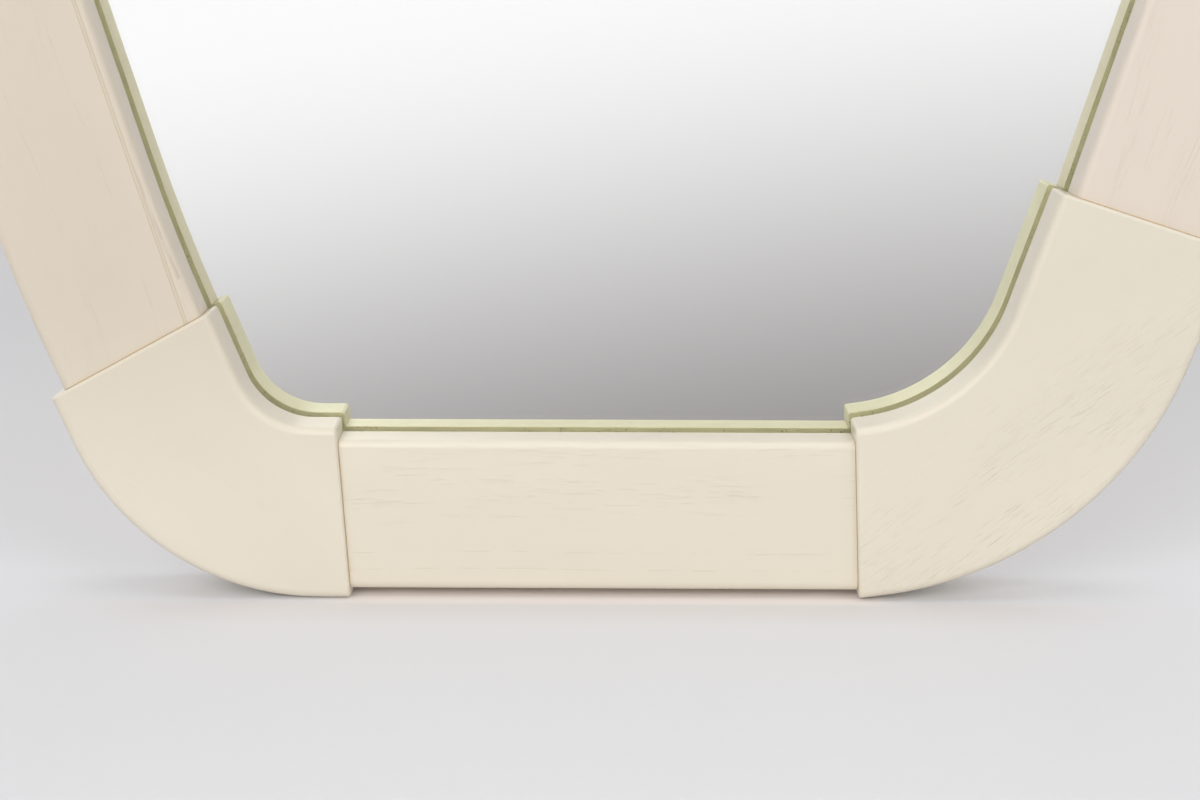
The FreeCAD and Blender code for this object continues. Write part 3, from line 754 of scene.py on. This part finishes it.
class MIRROR_OT_wall_pads(bpy.types.Operator):
    """Finish the rubber wall pads"""
    bl_idname = "mirror.wall_pads"
    bl_label = "Wall pads"

    RUBBER = (0.075, 0.075, 0.075)
    DUST = (0.12, 0.118, 0.115)
    DUST_HEIGHT = 0.05 * MM

    def execute(self, context):
        shader = Shader("pad rubber")
        dust = shader.noise(shader.place, scale=380.0, detail=3.0)
        colour = shader.mix(shader.ramp(dust, 0.4, 0.75), self.RUBBER, self.DUST)
        normal = shader.bump(dust, self.DUST_HEIGHT)
        paint("wall_pads", shader.finish(base_color=colour, roughness=0.75, normal=normal))
        return {"FINISHED"}


class MIRROR_OT_stage(bpy.types.Operator):
    """Set the floor, the lights, the surroundings seen in the mirror and the camera"""
    bl_idname = "mirror.stage"
    bl_label = "Stage"

    EYE = Vector((0.57, -630.92, 257.74)) * MM
    FORWARD = Vector((-0.00775, 0.96115, -0.27593))
    UP = Vector((-0.00374, 0.27591, 0.96118))
    FILM_WIDTH = 36.0
    NEAREST = 0.01

    # Name of each light, the setting with its power, its place and its diameter.
    LIGHTS = (("key light", "key", (-1.1, -2.6, 1.9), 2.2),
              ("fill light", "fill", (1.6, -1.6, 1.2), 1.6),
              ("top light", "top", (0.1, 0.0, 2.6), 1.8),
              ("back light", "back", (0.2, 1.9, 1.6), 2.0))
    LIGHT_AIM = Vector((0, 0, 0.2))

    # The floor's painted shade, shadow and light against its own colour, and the distances over which they
    # come in.
    FLOOR_HALF = 6.0
    TO_THE_BACK = (-0.1, 0.5)
    TO_THE_SIDES = (0.04, 0.30)
    MIDDLE_BACK_SHADE = 0.82
    SIDE_FRONT_SHADE = 0.94
    SIDE_BACK_SHADE = 0.75
    FOOT_SHADOW = Vector((0.955, 0.925, 0.905))
    FOOT_FRONT = (-0.045, -0.024)
    FOOT_BACK = (-0.022, -0.016)
    FOOT_ENDS = (0.15, 0.24)
    GAP_LIGHT = Vector((1.15, 1.07, 1.0))
    GAP_FRONT = (-0.022, -0.016)
    GAP_BACK = (0.012, 0.02)
    GAP_ENDS = (0.09, 0.12)

    # The surround's two tones, the levels between which it fades, and how far the fade leans.
    FADE_LOW = srgb(142, 138, 138)
    FADE_HIGH = srgb(252, 252, 252)
    FADE_LEVELS = (-0.38, -0.013)
    FADE_LEAN = 0.16
    GLASS_PASSES = 4.0

    def execute(self, context):
        settings = context.scene.mirror_stage
        self.lay_floor(context, settings)
        for name, word, place, size in self.LIGHTS:
            self.area(context, name, place, size, getattr(settings, word))
        self.surround(context, settings)
        self.camera(context, settings)
        context.scene.view_settings.view_transform = "Standard"
        return {"FINISHED"}

    def lay_floor(self, context, settings):
        half = self.FLOOR_HALF
        corners = [(-half, -half, 0), (half, -half, 0), (half, half, 0), (-half, half, 0)]
        mesh = bpy.data.meshes.new("floor")
        mesh.from_pydata(corners, [], [(0, 1, 2, 3)])
        mesh.materials.append(self.floor_with_painted_shade(Vector(settings.floor)))
        floor = bpy.data.objects.new("floor", mesh)
        context.scene.collection.objects.link(floor)
        floor.visible_glossy = False
        floor.visible_transmission = False

    def floor_with_painted_shade(self, front):
        """Pale floor with painted light and shade: painted shade darkens it away from the middle, a warm
        painted shadow lies before the frame, and painted light lightens it under the rail.
        """
        shader = Shader("pale floor")
        depth = shader.axis("Y")
        side = shader.maths("ABSOLUTE", shader.axis("X"))

        def patch(from_front, to_back, ends):
            return shader.product(shader.ramp(depth, *from_front), shader.ramp(depth, *to_back, 1.0, 0.0),
                                  shader.ramp(side, *ends, 1.0, 0.0))

        # Painted shade: the floor darkens towards the back and the sides.
        back = shader.ramp(depth, *self.TO_THE_BACK)
        middle = in_two_tones(shader, back, front, 1.0, self.MIDDLE_BACK_SHADE)
        sides = in_two_tones(shader, back, front, self.SIDE_FRONT_SHADE, self.SIDE_BACK_SHADE)
        colour = shader.mix(shader.ramp(side, *self.TO_THE_SIDES), middle, sides)
        # Painted shadow: a warm, darker patch on the floor just before the frame.
        foot_shadow = patch(self.FOOT_FRONT, self.FOOT_BACK, self.FOOT_ENDS)
        colour = shader.mix(foot_shadow, colour, tuple(front * self.FOOT_SHADOW))
        # Painted light: the floor under the rail is made lighter.
        gap_light = patch(self.GAP_FRONT, self.GAP_BACK, self.GAP_ENDS)
        colour = shader.mix(gap_light, colour, tuple(front * self.GAP_LIGHT))
        return shader.finish(base_color=colour, roughness=0.7)

    def area(self, context, name, place, size, power):
        light = bpy.data.lights.new(name, "AREA")
        light.energy = power
        light.shape = "DISK"
        light.size = size
        lamp = bpy.data.objects.new(name, light)
        lamp.location = place
        aim = self.LIGHT_AIM - lamp.location
        lamp.rotation_euler = aim.to_track_quat("-Z", "Y").to_euler()
        context.scene.collection.objects.link(lamp)

    def surround(self, context, settings):
        """A pale fade for what is seen and mirrored, and even light for the rest.

        The fade is lightened by what tint and silver take from it, and its light on the frame and the
        floor is stronger the more often it has passed through the glass.
        """
        world = bpy.data.worlds.new("surround")
        world.use_nodes = True
        world.node_tree.nodes.clear()
        context.scene.world = world
        build = Nodes(world.node_tree)

        place = build.node("ShaderNodeTexCoord").outputs["Generated"]
        axes = build.node("ShaderNodeSeparateXYZ", {0: place}).outputs
        level = build.maths("SUBTRACT", axes["Z"], build.maths("MULTIPLY", axes["X"], self.FADE_LEAN))
        fade = build.mix(build.ramp(level, *self.FADE_LEVELS), self.FADE_LOW, self.FADE_HIGH)
        glass = context.scene.mirror_glass
        kept = [tint * silver for tint, silver in zip(glass.tint, glass.silver)]
        rays = build.node("ShaderNodeLightPath").outputs
        colour = build.mix(rays["Is Transmission Ray"], fade, build.vector("DIVIDE", fade, kept))

        bounced = build.maths("GREATER_THAN", rays["Diffuse Depth"], 0.5)
        passes = build.maths("DIVIDE", rays["Transmission Depth"], self.GLASS_PASSES)
        more = build.product(bounced, build.maths("POWER", passes, 2.0), settings.mirrored)
        strength = build.maths("ADD", more, 1.0)
        seen = build.node("ShaderNodeBackground", {"Color": colour, "Strength": strength}).outputs[0]
        even = {"Color": (1.0, 1.0, 1.0, 1.0), "Strength": settings.ambient}
        even = build.node("ShaderNodeBackground", even).outputs[0]

        by_glass = build.maths("MAXIMUM", rays["Is Glossy Ray"], rays["Is Transmission Ray"])
        direct = build.maths("MAXIMUM", rays["Is Camera Ray"], by_glass)
        both = build.node("ShaderNodeMixShader", {0: direct, 1: even, 2: seen}).outputs[0]
        build.node("ShaderNodeOutputWorld", {"Surface": both})

    def camera(self, context, settings):
        lens = bpy.data.cameras.new("camera")
        lens.sensor_fit = "HORIZONTAL"
        lens.sensor_width = self.FILM_WIDTH
        lens.lens = settings.lens
        lens.clip_start = self.NEAREST
        camera = bpy.data.objects.new("camera", lens)
        forward = self.FORWARD.normalized()
        right = forward.cross(self.UP).normalized()
        up = right.cross(forward)
        turn = Matrix((right, up, -forward)).transposed()
        camera.matrix_world = Matrix.Translation(self.EYE) @ turn.to_4x4()
        context.scene.collection.objects.link(camera)
        context.scene.camera = camera


class MIRROR_PT_panel(bpy.types.Panel):
    bl_label = "Framed mirror"
    bl_idname = "MIRROR_PT_panel"
    bl_space_type = "VIEW_3D"
    bl_region_type = "UI"
    bl_category = "Mirror"

    def draw(self, context):
        for operator in OPERATORS:
            self.layout.operator(operator.bl_idname)


SETTINGS = {"mirror_paint": MirrorPaintSettings, "mirror_glass": MirrorGlassSettings,
            "mirror_metal": MirrorMetalSettings, "mirror_stage": MirrorStageSettings}
OPERATORS = (MIRROR_OT_painted_frame, MIRROR_OT_glass, MIRROR_OT_backing, MIRROR_OT_turn_buttons,
             MIRROR_OT_hangers, MIRROR_OT_wall_pads, MIRROR_OT_stage)
CLASSES = (*SETTINGS.values(), *OPERATORS, MIRROR_PT_panel)


def register():
    for made in CLASSES:
        bpy.utils.register_class(made)
    for word, group in SETTINGS.items():
        setattr(bpy.types.Scene, word, bpy.props.PointerProperty(type=group))


def unregister():
    for word in SETTINGS:
        delattr(bpy.types.Scene, word)
    for made in reversed(CLASSES):
        bpy.utils.unregister_class(made)


def main():
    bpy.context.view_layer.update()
    register()
    bpy.ops.mirror.painted_frame()
    bpy.ops.mirror.glass()
    bpy.ops.mirror.backing()
    bpy.ops.mirror.turn_buttons()
    bpy.ops.mirror.hangers()
    bpy.ops.mirror.wall_pads()
    bpy.ops.mirror.stage()


if __name__ == "__main__":
    main()
